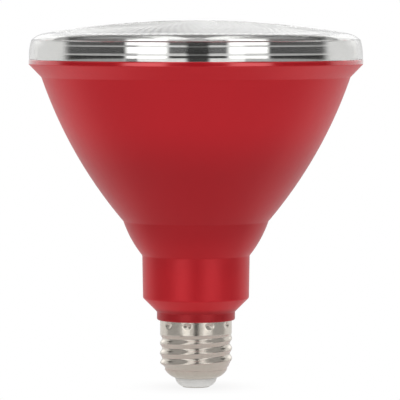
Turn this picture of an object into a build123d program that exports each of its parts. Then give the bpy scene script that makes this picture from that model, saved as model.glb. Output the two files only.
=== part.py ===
from build123d import *
import os
from math import ceil, cos, hypot, pi, sin, sqrt, tan

# Flood light bulb: a reflector lamp with light-emitting diodes and a medium screw base.
# Millimetres. Z is the lamp's axis and points to the lens. Z 0 is the flat underside
# of the centre contact, and every height is stacked up from there.

# Screw base, from the contact up
contact_height = 0.45
contact_radius = 4.9
contact_rim_rounding = 0.3
shank_radius = 1.6
shank_length = 5.2
shank_bore_radius = 0.9
insulator_height = 3.05
insulator_rim = 0.6
insulator_bulge = 0.35
insulator_throat_height = 0.5
insulator_flange_overlap = 1.2
insulator_flange_height = 2.4
mouth_radius = 7.9
shell_lip_height = 0.35
cup_height = 2.9
cup_bulge = 0.4
cup_setback = 1.8
thread_length = 13.5
thread_pitch = 3.629
thread_depth = 0.8
thread_crest_radius = 13.1
thread_run_in = 2.4
thread_run_out = 2.2
thread_crest_height = 14.1
sections_per_turn = 8
band_setback = 0.1
band_length = 4.5
shell_sheet = 0.3
step_overlap = 0.3
step_depth = 0.08

# Stakes punched into the band
stake_count = 10
stake_first_angle = -103.4
stake_width = 3.3
stake_height = 1.9
stake_depth = 0.9
stake_drop = 1.15

# Housing, from the collar up
collar_step = 1.15
collar_height = 3.0
collar_rounding = 0.8
neck_foot_radius = 19.2
neck_draft = 0.25
neck_height = 15.35
bowl_height = 12.4
bowl_bulge = 0.62
waist_radius = 26.25
cone_height = 52.0
cone_bulge = 2.8
flange_chamfer_height = 4.7
flange_height = 1.74
flange_radius = 60.3
flange_overhang = 4.6
flange_edge_rounding = 0.4
housing_wall = 1.9
rim_width = 2.5
rim_ledge_drop = 2.7
spigot_rise = 0.4
spigot_wall = 1.7
sink_ledge_width = 2.0
sink_ledge_rise = 0.8
rail_thickness = 1.2
rail_reach = 1.9
rail_height = 14.0

# Lens
lens_setback = 0.15
lens_wall = 1.7
skirt_height = 2.4
skirt_curve_height = 4.3
skirt_curve_lean = 1.3
skirt_curve_bulge = 0.22
shoulder_height = 2.76
shoulder_width = 4.45
dome_rise = 4.6
shoulder_rounding = 1.1
dome_edge_rounding = 2.5
seal_width = 1.0
seal_height = 0.8

# Reflector
reflector_wall = 1.2
reflector_skirt_gap = 1.35
reflector_foot_height = 0.8
lip_drop = 0.84
lip_width = 2.7
lip_web = 3.0
lip_rounding = 0.8
bead_count = 2
bead_height = 0.35
bead_width = 0.8
bead_first_rise = 1.95
bead_spacing = 2.6

# Heat sink and light board
sink_floor = 2.0
sink_wall = 1.4
sink_height = 29.0
board_thickness = 1.6
light_board_inset = 2.75
light_board_rim = 1.3
led_count = 12
led_ring_radius = 11.5
led_length = 3.5
led_width = 2.8
led_height = 0.8
led_window_radius = 1.15
led_window_depth = 0.12
screw_count = 3
screw_inset = 6.0
screw_head_radius = 2.3
screw_head_height = 1.5
screw_shank_radius = 1.2
screw_shank_length = 4.4
screw_slot_width = 0.6
screw_slot_depth = 0.7
connector_width = 6.0
connector_depth = 4.5
connector_height = 3.2
connector_offset = 5.5
connector_chamfer = 0.25
lead_hole_offset = 5.0
lead_hole_radius = 2.3

# Driver
driver_offset = 0.0
driver_rise = 3.5
driver_top_gap = 3.5
board_margin = 1.5
part_gap = 1.5
driver_tab_width = 17.0
driver_edge_clearance = 0.35
can_leg_radius = 0.3
can_leg_length = 1.6
input_can_radius = 5.0
input_can_length = 16.0
input_can_offset = 7.4
output_can_radius = 4.0
output_can_length = 13.0
output_can_offset = 6.2
can_rounding = 0.6
can_groove_depth = 0.35
can_groove_rise = 2.0
can_leg_spacing = 2.5
film_width = 10.0
film_depth = 8.0
film_height = 5.0
core_width = 16.0
core_height = 13.0
core_depth = 6.0
core_leg = 3.0
core_centre_leg = 3.8
winding_rounding = 1.5
winding_margin = 2.6
choke_radius = 3.9
choke_length = 7.0
choke_flange = 1.1
choke_waist = 0.6
varistor_radius = 3.5
varistor_thickness = 3.2
varistor_rounding = 1.0
bridge_width = 4.7
bridge_height = 3.8
bridge_thickness = 1.5
bridge_chamfer = 0.25
chip_width = 4.9
chip_height = 3.9
chip_thickness = 1.4
chip_leg_count = 4
chip_leg_pitch = 1.1
chip_leg_width = 0.4
chip_leg_reach = 1.0
chip_leg_thickness = 0.3
resistor_radius = 1.6
resistor_length = 8.0
resistor_rounding = 0.8
resistor_offset = 4.2

# Leads
mains_lead_radius = 0.7
led_lead_radius = 0.55
led_lead_spacing = 2.0
mains_lead_overlap = 3.5
mains_lead_swing = 3.0
neutral_lead_offset = 5.4
neutral_lead_step = 2.0
led_lead_overlap = 3.3
led_lead_loop = 3.3
led_lead_reach = 2.0

# Clearances
slip = 0.1
seat_gap = 0.2

# Radii of the outside, from the driving ones
insulator_foot_radius = contact_radius + insulator_rim
cup_radius = thread_crest_radius - cup_setback
band_radius = thread_crest_radius - band_setback
collar_radius = band_radius + collar_step
neck_top_radius = neck_foot_radius + neck_draft
crease_radius = flange_radius - flange_overhang
lens_radius = flange_radius - lens_setback

# Heights, stacked from the contact
z_insulator = contact_height
z_mouth = z_insulator + insulator_height
z_thread = z_mouth + cup_height
z_band = z_thread + thread_length
z_collar = z_band + band_length
z_chamfer = z_collar + collar_height
z_neck = z_chamfer + neck_foot_radius - collar_radius
z_bowl = z_neck + neck_height
z_waist = z_bowl + bowl_height
z_crease = z_waist + cone_height
z_flange = z_crease + flange_chamfer_height
z_seam = z_flange + flange_height
z_rim_ledge = z_seam - rim_ledge_drop
z_sink = z_waist + sink_ledge_rise
z_light_board = z_sink + sink_floor
z_leds = z_light_board + board_thickness
z_spigot = z_thread + step_overlap + thread_run_in + spigot_rise
z_shoulder = z_seam + skirt_height + skirt_curve_height
z_dome = z_shoulder + shoulder_height
z_lip = z_shoulder - lip_drop
z_flange_seat = z_mouth + shell_lip_height + slip
z_driver = z_spigot + driver_rise
z_driver_top = z_sink - driver_top_gap

# Radii and places inside, from the ones above
thread_middle_radius = thread_crest_radius - thread_depth / 2
spigot_radius = thread_crest_radius - thread_depth - shell_sheet - seat_gap
spigot_band_radius = band_radius - shell_sheet - slip
spigot_bore_radius = spigot_radius - spigot_wall
rim_inner_radius = flange_radius - rim_width
skirt_radius = lens_radius - lens_wall - reflector_skirt_gap
neck_bore_radius = neck_foot_radius - housing_wall
seal_radius = lens_radius - lens_wall / 2
mirror_mouth_radius = skirt_radius - lip_width
light_board_radius = waist_radius - light_board_inset
screw_ring_radius = light_board_radius - screw_inset
mirror_throat_radius = light_board_radius - light_board_rim - reflector_wall
front_face = driver_offset - board_thickness / 2
back_face = driver_offset + board_thickness / 2
driver_half_width = sqrt(neck_bore_radius**2 - back_face**2) - driver_edge_clearance
z_neck_bore = z_neck + housing_wall * tan(pi / 8)
z_bore = z_neck_bore - (neck_bore_radius - spigot_bore_radius)

# Places of the driver's parts: from the top down in front, from the foot up behind
z_chip = z_driver_top - board_margin - chip_height / 2
z_core = z_chip - chip_height / 2 - part_gap - core_height / 2
z_film = z_core - core_height / 2 - part_gap - film_height
z_choke = z_film - part_gap - choke_radius
z_resistor = z_driver + board_margin
z_bridge = z_resistor + resistor_length + part_gap + bridge_height / 2
z_varistor = z_bridge + bridge_height / 2 + part_gap + varistor_radius
z_cans = z_varistor + varistor_radius + part_gap + can_leg_length


class Arc:
    # An arc in (radius, height) between two ends, bulging away from the axis.
    # An inset gives the line that far inside it.
    def __init__(self, low, high, bulge):
        chord = hypot(high[0] - low[0], high[1] - low[1])
        self.bend = (chord**2 / 4 + bulge**2) / (2 * bulge)
        reach = self.bend - bulge
        self.middle_r = (low[0] + high[0]) / 2 - reach * (high[1] - low[1]) / chord
        self.middle_z = (low[1] + high[1]) / 2 + reach * (high[0] - low[0]) / chord

    def radius(self, z, inset=0.0):
        return self.middle_r + sqrt((self.bend - inset) ** 2 - (z - self.middle_z) ** 2)

    def height(self, radius, inset=0.0):
        return self.middle_z - sqrt((self.bend - inset) ** 2 - (radius - self.middle_r) ** 2)

    def run(self, start_z, end_z, inset=0.0):
        stops = (start_z, (start_z + end_z) / 2, end_z)
        return ThreePointArc(*[(self.radius(z, inset), z) for z in stops])


cone = Arc((waist_radius, z_waist), (crease_radius, z_crease), cone_bulge)
bowl = Arc((neck_top_radius, z_bowl), (waist_radius, z_waist), bowl_bulge)
cup = Arc((mouth_radius, z_mouth), (cup_radius, z_thread), cup_bulge)


def turned(*runs):
    # A closed outline in (radius, height), turned about the lamp's axis. A run is a
    # corner or a curve, and straight lines join the runs.
    edges = []
    for here, following in zip(runs, runs[1:] + runs[:1]):
        if not isinstance(here, tuple):
            edges.append(here)
        end = Vector(here) if isinstance(here, tuple) else here @ 1
        start = Vector(following) if isinstance(following, tuple) else following @ 0
        if (start - end).length > 1e-6:
            edges.append(Line(end, start))
    return revolve(Plane.XZ * make_face(edges), Axis.Z)


def rounding(radius, height, size, start_angle):
    # A quarter round, anticlockwise in (radius, height), about its own centre.
    return CenterArc((radius, height), size, start_angle, 90)


def disc(radius, low, high):
    return Pos(0, 0, low) * extrude(Circle(radius), high - low)


def tube(outer, inner, low, high):
    return disc(outer, low, high) - disc(inner, low, high)


def rod(start, direction, radius, length):
    return extrude(Plane(origin=start, z_dir=direction) * Circle(radius), length)


def ring_of(piece, count, radius, first_angle=0.0):
    turn = 360 / count
    return [Rot(0, 0, first_angle + turn * i) * Pos(radius, 0, 0) * piece for i in range(count)]


def wire(points, radius):
    # Straight runs joined by tangent arcs, each as large as its two runs allow.
    stops = [Vector(point) for point in points]
    bends = []
    for before, corner, after in zip(stops, stops[1:], stops[2:]):
        turn = (corner - before).get_angle(after - corner)
        shorter = min((corner - before).length, (after - corner).length)
        bends.append(0.45 * shorter / tan(turn * pi / 360))
    path = FilletPolyline(*stops, radius=bends)
    return sweep(Plane(origin=stops[0], z_dir=stops[1] - stops[0]) * Circle(radius), path)


def eased(share):
    share = min(max(share, 0.0), 1.0)
    return share * share * (3 - 2 * share)


def thread_section(z, inset):
    # A rolled round thread cut level is a circle set off the axis, and the
    # offset turns once a pitch, anticlockwise as the height grows.
    run_in = eased((z - z_thread - step_overlap) / thread_run_in)
    run_out = eased((z_band - z) / thread_run_out)
    radius = cup_radius - step_depth
    radius += (thread_middle_radius - radius) * run_in
    radius += (band_radius - step_depth - thread_middle_radius) * (1 - run_out)
    offset = thread_depth / 2 * min(run_in, run_out)
    turn = 2 * pi * (z - thread_crest_height) / thread_pitch
    return Pos(offset * cos(turn), offset * sin(turn), z) * Circle(radius - inset)


def thread_form(inset, margin):
    low = z_thread - margin
    high = z_band + step_overlap + margin
    count = ceil((high - low) / thread_pitch * sections_per_turn)
    return loft([thread_section(low + (high - low) * i / count, inset) for i in range(count + 1)])


def stakes(growth):
    # The punched marks: cones on oval feet, pointing at the axis, grown all round.
    depth = stake_depth + growth
    foot_radius = band_radius + stake_depth
    share = (foot_radius - band_radius + depth) / depth
    width = (stake_width / 2 + growth) * share
    height = (stake_height / 2 + growth) * share
    foot = Plane(origin=(foot_radius, 0, 0), x_dir=(0, 1, 0), z_dir=(1, 0, 0)) * Ellipse(width, height)
    mark = Pos(0, 0, z_collar - stake_drop) * loft([foot.face(), Vertex(band_radius - depth, 0, 0)])
    return ring_of(mark, stake_count, 0, stake_first_angle)


def screw_shell():
    # The band's seam lies between two stakes, and the backs of the stakes start within the sheet.
    seam = Rot(0, 0, stake_first_angle + 180 / stake_count)
    band = seam * tube(band_radius, band_radius - shell_sheet, z_band, z_collar)
    inside = seam * disc(band_radius - shell_sheet / 2, z_band, z_collar)
    for dent in stakes(shell_sheet):
        band += dent & inside
    for mark in stakes(0):
        band -= mark
    thread = thread_form(0, 0) - thread_form(shell_sheet, step_overlap)
    z_lip_top = z_mouth + shell_lip_height
    foot = turned(
        cup.run(z_mouth, z_thread),
        (cup_radius, z_thread + step_overlap),
        (cup_radius - shell_sheet, z_thread + step_overlap),
        cup.run(z_thread, z_lip_top, shell_sheet),
        (mouth_radius - shell_sheet, z_lip_top),
        (mouth_radius - shell_sheet, z_mouth),
    )
    return thread + band + foot


def base_insulator():
    throat = mouth_radius - shell_sheet - slip
    bore = shank_radius + slip
    flank_top = (throat, z_mouth - insulator_throat_height)
    flange = throat + insulator_flange_overlap
    return turned(
        (bore, z_insulator),
        SagittaArc((insulator_foot_radius, z_insulator), flank_top, -insulator_bulge),
        (throat, z_flange_seat),
        (flange, z_flange_seat + insulator_flange_overlap),
        (flange, z_flange_seat + insulator_flange_height),
        (bore, z_flange_seat + insulator_flange_height),
    )


def centre_contact():
    size = contact_rim_rounding
    return turned(
        (0, 0),
        rounding(contact_radius - size, size, size, -90),
        (contact_radius, z_insulator),
        (shank_radius, z_insulator),
        (shank_radius, shank_length),
        (shank_bore_radius, shank_length),
        (shank_bore_radius, z_insulator),
        (0, z_insulator),
    )


def guide_rails():
    # Two on each side of the bore, with the driver board's edge between them.
    start = driver_half_width - rail_reach
    length = neck_bore_radius + housing_wall / 2 - start
    apart = board_thickness + 2 * slip + rail_thickness
    rail = Box(length, rail_thickness, rail_height, align=(Align.MIN, Align.CENTER, Align.MIN))
    pair = [Pos(start, side * apart / 2, 0) * rail for side in (-1, 1)]
    return [Pos(0, driver_offset, z_neck_bore) * Rot(0, 0, turn) * rail for turn in (0, 180) for rail in pair]


def housing():
    ledge_radius = cone.radius(z_sink, housing_wall)
    ledge_bore = ledge_radius - sink_ledge_width
    z_step = z_band + 2 * step_overlap
    flange_size = flange_edge_rounding
    bowl_stops = [bowl.height(radius, housing_wall) for radius in (ledge_bore, neck_bore_radius)]
    body = turned(
        (spigot_bore_radius, z_spigot),
        (spigot_radius, z_spigot),
        (spigot_radius, z_step),
        (spigot_band_radius, z_step),
        (spigot_band_radius, z_collar),
        rounding(collar_radius - collar_rounding, z_collar + collar_rounding, collar_rounding, -90),
        (collar_radius, z_chamfer),
        (neck_foot_radius, z_neck),
        bowl.run(z_bowl, z_waist),
        cone.run(z_waist, z_crease),
        (flange_radius, z_flange),
        rounding(flange_radius - flange_size, z_seam - flange_size, flange_size, 0),
        (rim_inner_radius, z_seam),
        (rim_inner_radius, z_rim_ledge),
        (cone.radius(z_crease, housing_wall), z_rim_ledge),
        cone.run(z_crease, z_sink, housing_wall),
        (ledge_bore, z_sink),
        bowl.run(*bowl_stops, housing_wall),
        (neck_bore_radius, z_neck_bore),
        (spigot_bore_radius, z_bore),
    )
    body -= tube(seal_radius + seal_width / 2, seal_radius - seal_width / 2, z_seam - seal_height, z_seam)
    for pocket in stakes(shell_sheet + slip):
        body -= pocket
    for rail in guide_rails():
        body += rail
    return body


def lens_seal():
    return tube(seal_radius + seal_width / 2, seal_radius - seal_width / 2, z_seam - seal_height, z_seam)


def dome(radius, low, rise):
    bend = (radius**2 + rise**2) / (2 * rise)
    middle = low + rise - bend + sqrt(bend**2 - radius**2 / 4)
    return ThreePointArc((radius, low), (radius / 2, middle), (0, low + rise))


def front_lens():
    shoulder_radius = lens_radius - skirt_curve_lean
    skirt_top = (lens_radius, z_seam + skirt_height)
    form = turned(
        (0, z_seam),
        (lens_radius, z_seam),
        SagittaArc(skirt_top, (shoulder_radius, z_shoulder), -skirt_curve_bulge),
        dome(shoulder_radius - shoulder_width, z_dome, dome_rise),
    )
    rings = form.edges().filter_by(GeomType.CIRCLE)
    form = fillet(rings.filter_by_position(Axis.Z, z_shoulder - slip, z_shoulder + slip), shoulder_rounding)
    rings = form.edges().filter_by(GeomType.CIRCLE)
    form = fillet(rings.filter_by_position(Axis.Z, z_dome - slip, z_dome + slip), dome_edge_rounding)
    return offset(form, -lens_wall, openings=form.faces().sort_by(Axis.Z)[0], kind=Kind.INTERSECTION)


def parabola(low, high, shift=0.0):
    # The mirror's curve from the throat round the light-emitting diodes to the mouth,
    # as one exact second-degree curve from one height to the other.
    focal_length = (mirror_mouth_radius**2 - mirror_throat_radius**2) / (4 * (z_lip - z_leds))
    vertex = z_leds - mirror_throat_radius**2 / (4 * focal_length)
    first, last = [2 * sqrt(focal_length * (z - vertex)) for z in (low, high)]
    corner = (first * last) / (4 * focal_length) + vertex
    return Bezier((first + shift, low), ((first + last) / 2 + shift, corner), (last + shift, high))


def reflector():
    z_web = z_lip - lip_web
    z_foot = z_rim_ledge + reflector_foot_height
    foot_radius = rim_inner_radius - seat_gap
    form = turned(
        (foot_radius, z_rim_ledge),
        (foot_radius, z_foot),
        (skirt_radius, z_foot),
        rounding(skirt_radius - lip_rounding, z_lip - lip_rounding, lip_rounding, 0),
        parabola(z_lip, z_leds),
        parabola(z_leds, z_web, reflector_wall),
        (skirt_radius - reflector_wall, z_web),
        (skirt_radius - reflector_wall, z_rim_ledge),
    )
    for i in range(bead_count):
        z = z_seam + bead_first_rise + bead_spacing * i
        low, high = z - bead_width / 2, z + bead_width / 2
        root = skirt_radius - bead_height
        bead = ThreePointArc((skirt_radius, low), (skirt_radius + bead_height, z), (skirt_radius, high))
        form += turned((root, low), bead, (root, high))
    return form


def screw_holes(low, high):
    return ring_of(disc(screw_shank_radius + slip, low, high), screw_count, screw_ring_radius)


def heat_sink():
    z_top = z_sink + sink_height
    outer = housing_wall + slip
    form = turned(
        (0, z_sink),
        cone.run(z_sink, z_top, outer),
        cone.run(z_top, z_light_board, outer + sink_wall),
        (0, z_light_board),
    )
    form -= Pos(0, lead_hole_offset, 0) * disc(lead_hole_radius + seat_gap, z_sink, z_light_board)
    for hole in screw_holes(z_sink, z_light_board):
        form -= hole
    return form


def led_board():
    form = disc(light_board_radius, z_light_board, z_leds)
    form -= Pos(0, lead_hole_offset, 0) * disc(lead_hole_radius, z_light_board, z_leds)
    for hole in screw_holes(z_light_board, z_leds):
        form -= hole
    return form


def leds():
    z_top = z_leds + led_height
    sides = (Align.CENTER, Align.CENTER, Align.MAX)
    body = Pos(0, 0, z_top) * Box(led_width, led_length, led_height, align=sides)
    body -= disc(led_window_radius, z_top - led_window_depth, z_top)
    return ring_of(body, led_count, led_ring_radius, 180 / led_count)


def board_screws():
    z_head = z_leds + screw_head_height
    head = disc(screw_head_radius, z_leds, z_head)
    head = fillet(head.edges().sort_by(Axis.Z)[-1], screw_head_height / 2)
    slot = Pos(0, 0, z_head) * Box(2 * screw_shank_radius, screw_slot_width, 2 * screw_slot_depth)
    screw = head + disc(screw_shank_radius, z_leds - screw_shank_length, z_leds) - slot - Rot(0, 0, 90) * slot
    return Compound(ring_of(screw, screw_count, screw_ring_radius))


def lead_places():
    return [side * led_lead_spacing / 2 for side in (-1, 1)]


def board_connector():
    z_middle = z_leds + connector_height / 2
    form = Pos(0, -connector_offset, z_middle) * Box(connector_width, connector_depth, connector_height)
    form = chamfer(form.edges().group_by(Axis.Z)[-1], connector_chamfer)
    mouth = connector_depth / 2 - connector_offset
    for x in lead_places():
        form -= rod((x, mouth, z_middle), (0, -1, 0), led_lead_radius + slip, connector_depth * 2 / 3)
    return form


def driver_board():
    corner_radius = hypot(driver_half_width, back_face)
    z_step = z_neck_bore - (neck_bore_radius - corner_radius) + driver_edge_clearance
    tab = driver_tab_width / 2
    side = [(tab, z_driver), (tab, z_step), (driver_half_width, z_step), (driver_half_width, z_driver_top)]
    outline = Polygon(*side, *[(-x, z) for x, z in reversed(side)], align=None)
    return Pos(0, driver_offset, 0) * extrude(Plane.XZ * outline, board_thickness / 2, both=True)


def can(radius, length, x):
    # An electrolytic capacitor lying along the board, with the rolled groove near its foot.
    y = back_face + seat_gap + radius
    groove = z_cans + can_groove_rise
    body = disc(radius, z_cans, z_cans + length)
    body = fillet(body.edges().filter_by(GeomType.CIRCLE), can_rounding)
    body -= tube(radius + slip, radius - can_groove_depth, groove, groove + 2 * can_groove_depth)
    body = Pos(x, y, 0) * body
    bend = z_cans - can_leg_length
    for leg_x in (x - can_leg_spacing / 2, x + can_leg_spacing / 2):
        body += wire([(leg_x, y, z_cans), (leg_x, y, bend), (leg_x, back_face, bend)], can_leg_radius)
    return body


def film_capacitor():
    form = Box(film_width, film_depth, film_height, align=(Align.CENTER, Align.MAX, Align.MIN))
    form = fillet(form.edges().filter_by(Axis.Y), can_rounding)
    return Pos(0, front_face, z_film) * form


def winding_size():
    width = core_width - 2 * core_leg - 2 * slip
    return width, core_depth + 2 * winding_margin, core_height - 2 * core_leg - 2 * slip


def transformer_core():
    window_width = (core_width - 2 * core_leg - core_centre_leg) / 2
    form = Box(core_width, core_depth, core_height)
    window = Box(window_width, core_depth, core_height - 2 * core_leg)
    for side in (-1, 1):
        form -= Pos(side * (core_centre_leg + window_width) / 2, 0, 0) * window
    return Pos(0, front_face - winding_size()[1] / 2, z_core) * form


def transformer_winding():
    width, depth, height = winding_size()
    form = Box(width, depth, height)
    form = fillet(form.edges().filter_by(Axis.Z), winding_rounding)
    form -= Box(core_centre_leg + 2 * slip, core_depth + 2 * slip, height)
    return Pos(0, front_face - depth / 2, z_core) * form


def choke():
    start = (0, front_face, z_choke)
    form = rod(start, (0, -1, 0), choke_radius, choke_length)
    waist_start = (0, front_face - choke_flange, z_choke)
    waist_length = choke_length - 2 * choke_flange
    ring = rod(waist_start, (0, -1, 0), choke_radius, waist_length)
    return form - (ring - rod(waist_start, (0, -1, 0), choke_radius - choke_waist, waist_length))


def varistor():
    start = (0, back_face + seat_gap, z_varistor)
    form = rod(start, (0, 1, 0), varistor_radius, varistor_thickness)
    return fillet(form.edges().filter_by(GeomType.CIRCLE), varistor_rounding)


def bridge_rectifier():
    form = Box(bridge_width, bridge_thickness, bridge_height, align=(Align.MIN, Align.MIN, Align.CENTER))
    form = chamfer(form.edges().group_by(Axis.Y)[-1], bridge_chamfer)
    return Pos(0, back_face, z_bridge) * form


def driver_chip():
    form = Box(chip_width, chip_thickness, chip_height, align=(Align.CENTER, Align.MAX, Align.CENTER))
    leg = Box(chip_width + 2 * chip_leg_reach, chip_leg_thickness, chip_leg_width,
              align=(Align.CENTER, Align.MAX, Align.CENTER))
    for i in range(chip_leg_count):
        form += Pos(0, 0, chip_leg_pitch * (i - (chip_leg_count - 1) / 2)) * leg
    return Pos(0, front_face, z_chip) * form


def fusible_resistor():
    x, y = -resistor_offset, back_face + seat_gap + resistor_radius
    form = Pos(x, y, 0) * disc(resistor_radius, z_resistor, z_resistor + resistor_length)
    return fillet(form.edges().filter_by(GeomType.CIRCLE), resistor_rounding)


def live_lead():
    # From the board's foot down the middle, into the contact's hollow shank.
    y = front_face - mains_lead_radius - slip
    high = z_driver - mains_lead_swing / 2
    low = high - mains_lead_swing
    return wire([(0, y, z_driver + mains_lead_overlap), (0, y, high), (0, 0, low),
                 (0, 0, z_insulator + mains_lead_radius)], mains_lead_radius)


def neutral_lead():
    # From the board's foot, under the housing's spigot and out to the shell.
    x, y = neutral_lead_offset, front_face - mains_lead_radius - slip
    under = z_spigot - mains_lead_radius - 2 * seat_gap
    end = spigot_radius - mains_lead_radius
    return wire([(x, y, z_driver + mains_lead_overlap), (x, y, z_spigot + 2 * mains_lead_radius),
                 (x + neutral_lead_step, y, under), (end, y, under - slip)], mains_lead_radius)


def led_lead(x):
    # Up from the driver board, through the light board's hole and over into the connector.
    y = back_face + led_lead_radius + slip
    z_middle = z_leds + connector_height / 2
    loop = z_middle + led_lead_loop
    mouth = connector_depth / 2 - connector_offset
    return wire([(x, y, z_driver_top - led_lead_overlap), (x, y, z_driver_top),
                 (x, lead_hole_offset, z_sink), (x, lead_hole_offset, z_middle),
                 (x, lead_hole_offset - led_lead_reach, loop), (x, mouth + 2 * led_lead_reach, loop),
                 (x, mouth + led_lead_reach, z_middle), (x, mouth - connector_depth / 2, z_middle)],
                led_lead_radius)


parts = {
    "front_lens": front_lens(),
    "lens_seal": lens_seal(),
    "reflector": reflector(),
    "housing": housing(),
    "heat_sink": heat_sink(),
    "led_board": led_board(),
    "board_connector": board_connector(),
    "board_screws": board_screws(),
    "driver_board": driver_board(),
    "input_capacitor": can(input_can_radius, input_can_length, -input_can_offset),
    "output_capacitor": can(output_can_radius, output_can_length, output_can_offset),
    "film_capacitor": film_capacitor(),
    "transformer_core": transformer_core(),
    "transformer_winding": transformer_winding(),
    "choke": choke(),
    "varistor": varistor(),
    "bridge_rectifier": bridge_rectifier(),
    "driver_chip": driver_chip(),
    "fusible_resistor": fusible_resistor(),
    "live_lead": live_lead(),
    "neutral_lead": neutral_lead(),
    "led_lead_negative": led_lead(lead_places()[0]),
    "led_lead_positive": led_lead(lead_places()[1]),
    "screw_shell": screw_shell(),
    "base_insulator": base_insulator(),
    "centre_contact": centre_contact(),
}
for number, led in enumerate(leds(), 1):
    parts[f"led_{number:02d}"] = led

os.makedirs("parts", exist_ok=True)
for name, shape in parts.items():
    export_step(shape, f"parts/{name}.step")
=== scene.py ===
import math
import bpy
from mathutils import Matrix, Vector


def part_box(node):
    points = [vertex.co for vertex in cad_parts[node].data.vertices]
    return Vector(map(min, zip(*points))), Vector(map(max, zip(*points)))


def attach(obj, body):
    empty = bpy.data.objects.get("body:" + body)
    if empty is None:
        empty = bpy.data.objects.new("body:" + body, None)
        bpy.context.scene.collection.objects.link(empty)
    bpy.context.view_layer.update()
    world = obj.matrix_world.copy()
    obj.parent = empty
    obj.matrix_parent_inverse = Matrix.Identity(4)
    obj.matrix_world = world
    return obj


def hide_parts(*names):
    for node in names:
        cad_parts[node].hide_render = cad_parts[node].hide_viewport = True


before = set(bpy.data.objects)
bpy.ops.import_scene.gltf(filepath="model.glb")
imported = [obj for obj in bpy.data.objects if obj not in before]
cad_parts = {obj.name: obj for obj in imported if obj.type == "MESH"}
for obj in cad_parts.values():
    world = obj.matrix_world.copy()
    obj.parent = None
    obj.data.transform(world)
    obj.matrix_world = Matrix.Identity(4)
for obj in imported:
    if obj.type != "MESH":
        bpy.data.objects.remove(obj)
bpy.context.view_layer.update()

# Flood light bulb. Each piece has its sizes in millimetres in one dictionary beside its code,
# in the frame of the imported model: Z is the lamp's axis and 0 is the underside of the contact.

millimetre = 0.001


# Shader nodes


class Wire:  # a node's output, on which sums are written as plain Python
    def __init__(self, graph, socket):
        self.graph = graph
        self.socket = socket

    def __add__(self, other):
        return self.graph.maths("ADD", self, other)

    def __radd__(self, other):
        return self.graph.maths("ADD", other, self)

    def __sub__(self, other):
        return self.graph.maths("SUBTRACT", self, other)

    def __rsub__(self, other):
        return self.graph.maths("SUBTRACT", other, self)

    def __mul__(self, other):
        return self.graph.maths("MULTIPLY", self, other)

    def __rmul__(self, other):
        return self.graph.maths("MULTIPLY", other, self)

    def __truediv__(self, other):
        return self.graph.maths("DIVIDE", self, other)

    def __abs__(self):
        return self.graph.maths("ABSOLUTE", self)

    def step(self, low, high):  # 0 below low, 1 above high and smooth between
        values = {"Value": self, "From Min": low, "From Max": high}
        return self.graph.add("ShaderNodeMapRange", {"interpolation_type": "SMOOTHSTEP"}, values)

    def band(self, low, high, soft):  # 1 between low and high
        return self.step(low - soft, low) * (1 - self.step(high, high + soft))


class Graph:  # the nodes of one material, or of the world
    def __init__(self, owner):
        owner.use_nodes = True
        self.tree = owner.node_tree
        self.tree.nodes.clear()

    def add(self, kind, settings=None, values=None, output=0):
        node = self.tree.nodes.new(kind)
        for key, value in (settings or {}).items():
            if key == "stops":
                self.setStops(node.color_ramp, value)
            else:
                setattr(node, key, value)
        for key, value in (values or {}).items():
            if isinstance(value, Wire):
                self.tree.links.new(value.socket, node.inputs[key])
            else:
                node.inputs[key].default_value = value
        return Wire(self, node.outputs[output]) if node.outputs else None

    def setStops(self, ramp, stops):
        while len(ramp.elements) < len(stops):
            ramp.elements.new(1.0)
        for element, (place, tone) in zip(ramp.elements, stops):
            element.position = place
            element.color = tone

    def maths(self, operation, *values):
        return self.add("ShaderNodeMath", {"operation": operation}, dict(enumerate(values)))

    def axes(self, vector):
        node = self.tree.nodes.new("ShaderNodeSeparateXYZ")
        self.tree.links.new(vector.socket, node.inputs[0])
        return [Wire(self, socket) for socket in node.outputs]

    def place(self):  # the point's place in the lamp's frame, in metres
        return self.add("ShaderNodeTexCoord", {}, {}, 3)

    def height(self):  # the point's height, in millimetres
        return self.axes(self.place())[2] / millimetre

    def fromAxis(self):  # the point's distance from the lamp's axis, in millimetres
        x, y = self.axes(self.place())[:2]
        return self.maths("SQRT", x * x + y * y) / millimetre

    def blend(self, factor, first, second):
        return self.add("ShaderNodeMix", {"data_type": "RGBA"}, {0: factor, 6: first, 7: second}, 2)

    def noise(self, size, detail=2.0, stretch=(1, 1, 1)):  # size of a blotch in millimetres
        point = self.add("ShaderNodeMapping", {}, {"Vector": self.place(), "Scale": stretch})
        values = {"Vector": point, "Scale": 1 / (size * millimetre), "Detail": detail}
        return self.add("ShaderNodeTexNoise", {}, values)

    def bump(self, height, strength, depth):  # depth in millimetres
        values = {"Height": height, "Strength": strength, "Distance": depth * millimetre}
        return self.add("ShaderNodeBump", {}, values)

    def rays(self, kind):  # 1 for that kind of ray
        kinds = {"camera": 0, "shadow": 1, "diffuse": 2, "glossy": 3}
        return self.add("ShaderNodeLightPath", {}, {}, kinds[kind])

    def surface(self, values):
        return self.add("ShaderNodeBsdfPrincipled", {}, values)

    def mixShaders(self, factor, first, second):
        return self.add("ShaderNodeMixShader", {}, {0: factor, 1: first, 2: second})

    def finish(self, shader, kind="ShaderNodeOutputMaterial"):
        self.add(kind, {}, {"Surface": shader})


def rgb(red, green, blue):  # as on a screen, 0 to 255
    shares = [value / 255 for value in (red, green, blue)]
    return (*[s / 12.92 if s <= 0.04045 else ((s + 0.055) / 1.055) ** 2.4 for s in shares], 1.0)


def tones(colours):
    return [rgb(*colour) for colour in colours]


def startMaterial(name):
    material = bpy.data.materials.new(name)
    return material, Graph(material)


# Outlines in (radius, height), and the meshes turned from them


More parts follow.
